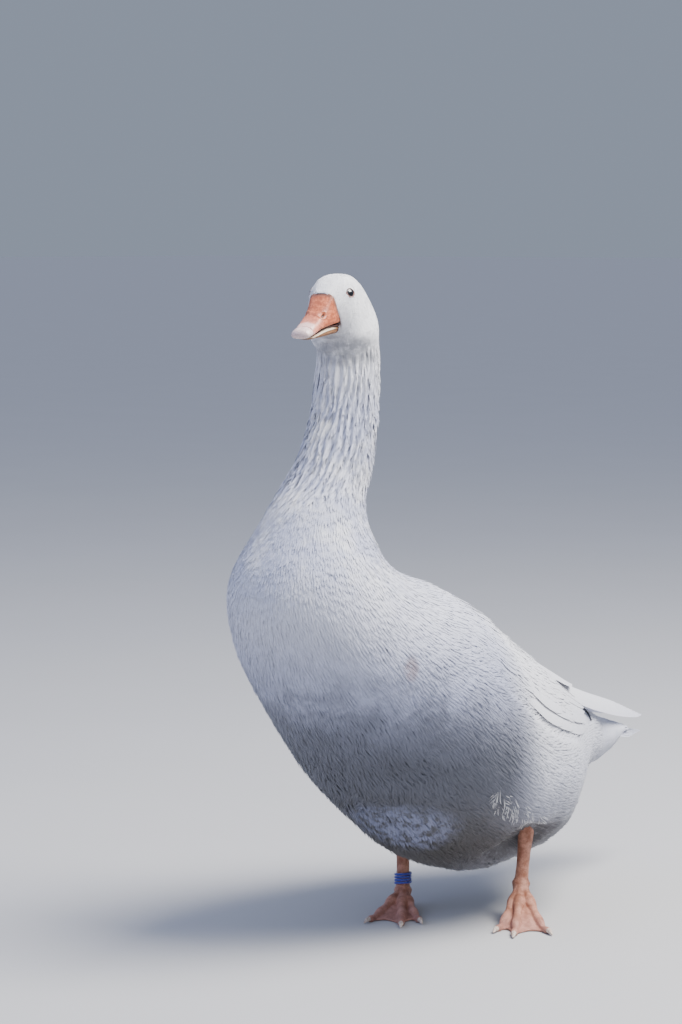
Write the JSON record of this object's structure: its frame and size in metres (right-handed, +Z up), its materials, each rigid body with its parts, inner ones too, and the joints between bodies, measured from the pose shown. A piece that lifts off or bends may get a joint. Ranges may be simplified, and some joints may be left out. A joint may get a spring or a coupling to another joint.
{
  "type": "domestic goose",
  "caption": "White domestic goose standing alert, as a still life-size model with folded wings, webbed feet, orange bill and a blue leg ring.",
  "frame": {"origin": "on the floor plane, under the middle of the bird's length and width", "axes": "+Z up, -Y the way the body faces, +X the bird's own left"},
  "size_m": [0.2985, 0.6681, 0.7209],
  "materials": {
    "plumage": "soft white feathers",
    "horn": "orange bill skin, fine wrinkles",
    "nail": "pale horn",
    "skin": "scaly orange-pink leg skin",
    "eye": "wet dark eye",
    "ring": "blue coiled plastic"
  },
  "bodies": {
    "root": {"torso": "plumage", "neck": "plumage", "head": "plumage", "tail": "plumage", "wing_left": "plumage", "wing_right": "plumage", "eye_left": "eye", "eye_right": "eye", "bill_upper": "horn", "bill_lower": "horn", "bill_nail": "nail", "leg_left": "skin", "leg_right": "skin", "foot_left": "skin", "foot_right": "skin", "claw_left_inner": "nail", "claw_left_middle": "nail", "claw_left_outer": "nail", "claw_right_inner": "nail", "claw_right_middle": "nail", "claw_right_outer": "nail", "leg_ring": "ring"}
  },
  "joints": []
}
